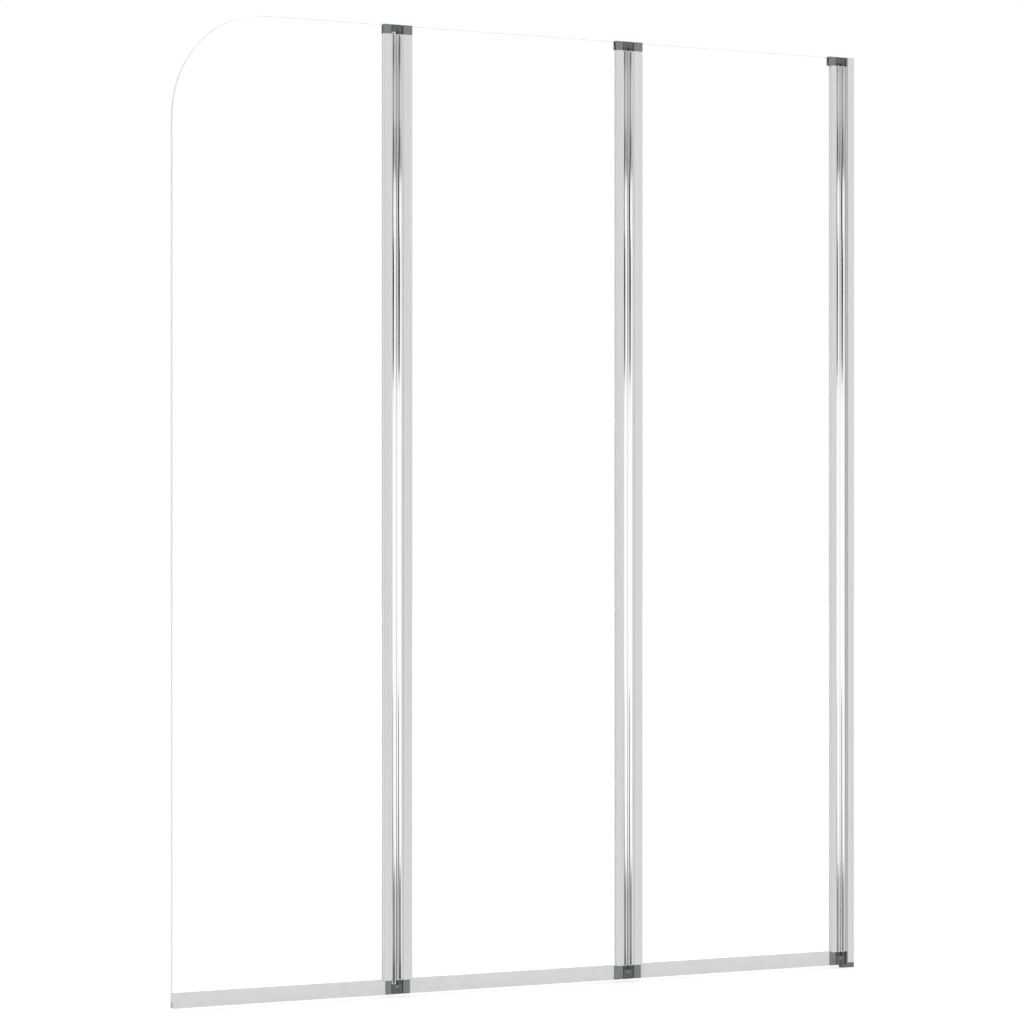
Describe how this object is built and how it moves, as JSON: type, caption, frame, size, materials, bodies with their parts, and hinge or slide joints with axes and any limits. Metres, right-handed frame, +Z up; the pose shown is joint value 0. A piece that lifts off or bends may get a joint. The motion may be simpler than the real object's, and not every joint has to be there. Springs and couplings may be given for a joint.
{
  "type": "folding bath screen",
  "caption": "Glass bath screen that folds in a concertina on twin-pivot hinges from a wall channel, with grey bottom seals and a rounded top corner.",
  "frame": {"origin": "on the wall face, at the middle of the screen's thickness, at the base of the wall foot", "axes": "+Z up, +X square into the wall, so the screen runs towards -X; -Y is the side the picture shows"},
  "size_m": [1.197, 0.0114, 1.4],
  "materials": {
    "glass": "clear toughened, ground edges",
    "bright_aluminium": "bright polished",
    "dark_plastic": "fine moulded",
    "seal_pvc": "soft matt",
    "gasket_rubber": "clear, matt",
    "pin_steel": "ground"
  },
  "bodies": {
    "wall": {"wall_channel": "bright_aluminium", "wall_post": "bright_aluminium", "post_clamp_screws": "pin_steel", "foot_cap": "dark_plastic", "post_top_cap": "dark_plastic", "post_bushes": "dark_plastic"},
    "wall_link": {"wall_link_top": "dark_plastic", "wall_link_bottom": "dark_plastic", "wall_hinge_pins": "pin_steel"},
    "inner_panel": {"inner_glass": "glass", "inner_right_profile": "bright_aluminium", "inner_left_profile": "bright_aluminium", "inner_right_gasket": "gasket_rubber", "inner_left_gasket": "gasket_rubber", "inner_right_top_cap": "dark_plastic", "inner_left_top_cap": "dark_plastic", "inner_right_bottom_cap": "dark_plastic", "inner_left_bottom_cap": "dark_plastic", "inner_bottom_seal": "seal_pvc", "inner_bushes": "dark_plastic"},
    "inner_link": {"inner_link_top": "dark_plastic", "inner_link_bottom": "dark_plastic", "inner_hinge_pins": "pin_steel"},
    "middle_panel": {"middle_glass": "glass", "middle_right_profile": "bright_aluminium", "middle_left_profile": "bright_aluminium", "middle_right_gasket": "gasket_rubber", "middle_left_gasket": "gasket_rubber", "middle_right_top_cap": "dark_plastic", "middle_left_top_cap": "dark_plastic", "middle_right_bottom_cap": "dark_plastic", "middle_left_bottom_cap": "dark_plastic", "middle_bottom_seal": "seal_pvc", "middle_bushes": "dark_plastic"},
    "outer_link": {"outer_link_top": "dark_plastic", "outer_link_bottom": "dark_plastic", "outer_hinge_pins": "pin_steel"},
    "outer_panel": {"outer_glass": "glass", "outer_profile": "bright_aluminium", "outer_gasket": "gasket_rubber", "outer_top_cap": "dark_plastic", "outer_bottom_cap": "dark_plastic", "outer_bottom_seal": "seal_pvc", "outer_bushes": "dark_plastic"}
  },
  "joints": [
    {"name": "wall_link_turn", "type": "hinge", "parent": "wall", "child": "wall_link", "pos_m": [-0.02, 0, 0.7], "axis": [0, 0, 1], "range_deg": [-45, 0]},
    {"name": "inner_panel_turn", "type": "hinge", "parent": "wall_link", "child": "inner_panel", "pos_m": [-0.03, 0, 0.7], "axis": [0, 0, 1], "range_deg": [-45, 0]},
    {"name": "inner_link_turn", "type": "hinge", "parent": "inner_panel", "child": "inner_link", "pos_m": [-0.418, 0, 0.7], "axis": [0, 0, 1], "range_deg": [0, 90]},
    {"name": "middle_panel_turn", "type": "hinge", "parent": "inner_link", "child": "middle_panel", "pos_m": [-0.428, 0, 0.7], "axis": [0, 0, 1], "range_deg": [0, 90]},
    {"name": "outer_link_turn", "type": "hinge", "parent": "middle_panel", "child": "outer_link", "pos_m": [-0.8235, 0, 0.7], "axis": [0, 0, 1], "range_deg": [-90, 0]},
    {"name": "outer_panel_turn", "type": "hinge", "parent": "outer_link", "child": "outer_panel", "pos_m": [-0.8335, 0, 0.7], "axis": [0, 0, 1], "range_deg": [-90, 0]}
  ]
}
